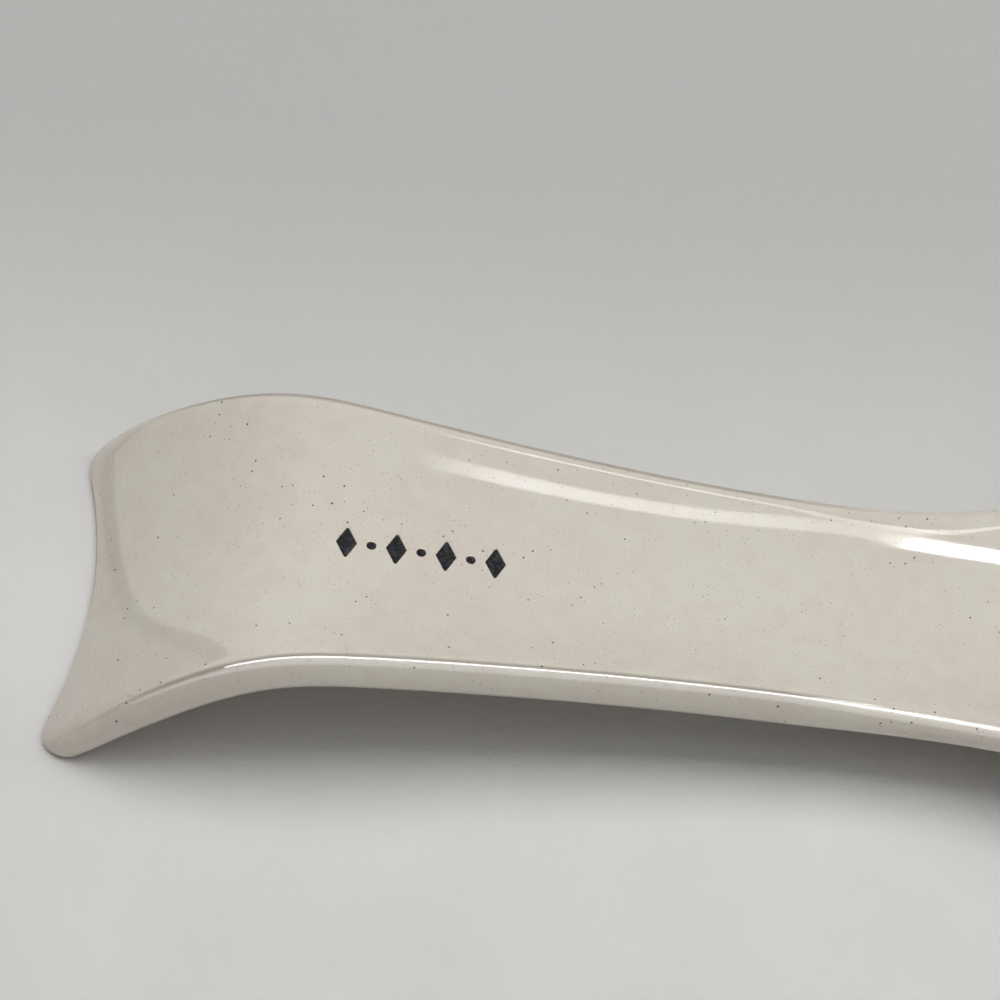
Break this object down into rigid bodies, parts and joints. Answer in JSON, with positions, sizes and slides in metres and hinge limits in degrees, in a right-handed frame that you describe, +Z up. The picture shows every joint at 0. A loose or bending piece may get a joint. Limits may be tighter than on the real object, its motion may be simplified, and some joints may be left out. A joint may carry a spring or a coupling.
{
  "type": "spoon rest",
  "caption": "Glazed stoneware spoon rest: a round shallow dish on a foot ring, with an arched, hollowed slab handle that flares and turns down to a toe.",
  "frame": {"origin": "middle of the length and width, on the table that it stands on", "axes": "+X along the handle towards the dish, +Y across it, +Z up"},
  "size_m": [0.255, 0.098, 0.0245],
  "materials": {
    "stoneware": "bare fired clay, matt",
    "slip_clay": "fired slip, matt",
    "cream_glaze": "glossy cream glaze with fine dark specks",
    "black_underglaze": "black, satin"
  },
  "bodies": {
    "root": {"dish": "stoneware", "handle": "stoneware", "foot_ring": "stoneware", "neck_slip": "slip_clay", "foot_slip": "slip_clay", "glaze_coat": "cream_glaze", "stamp_mark_1": "black_underglaze", "stamp_mark_2": "black_underglaze", "stamp_mark_3": "black_underglaze", "stamp_mark_4": "black_underglaze", "stamp_mark_5": "black_underglaze", "stamp_mark_6": "black_underglaze", "stamp_mark_7": "black_underglaze"}
  },
  "joints": []
}
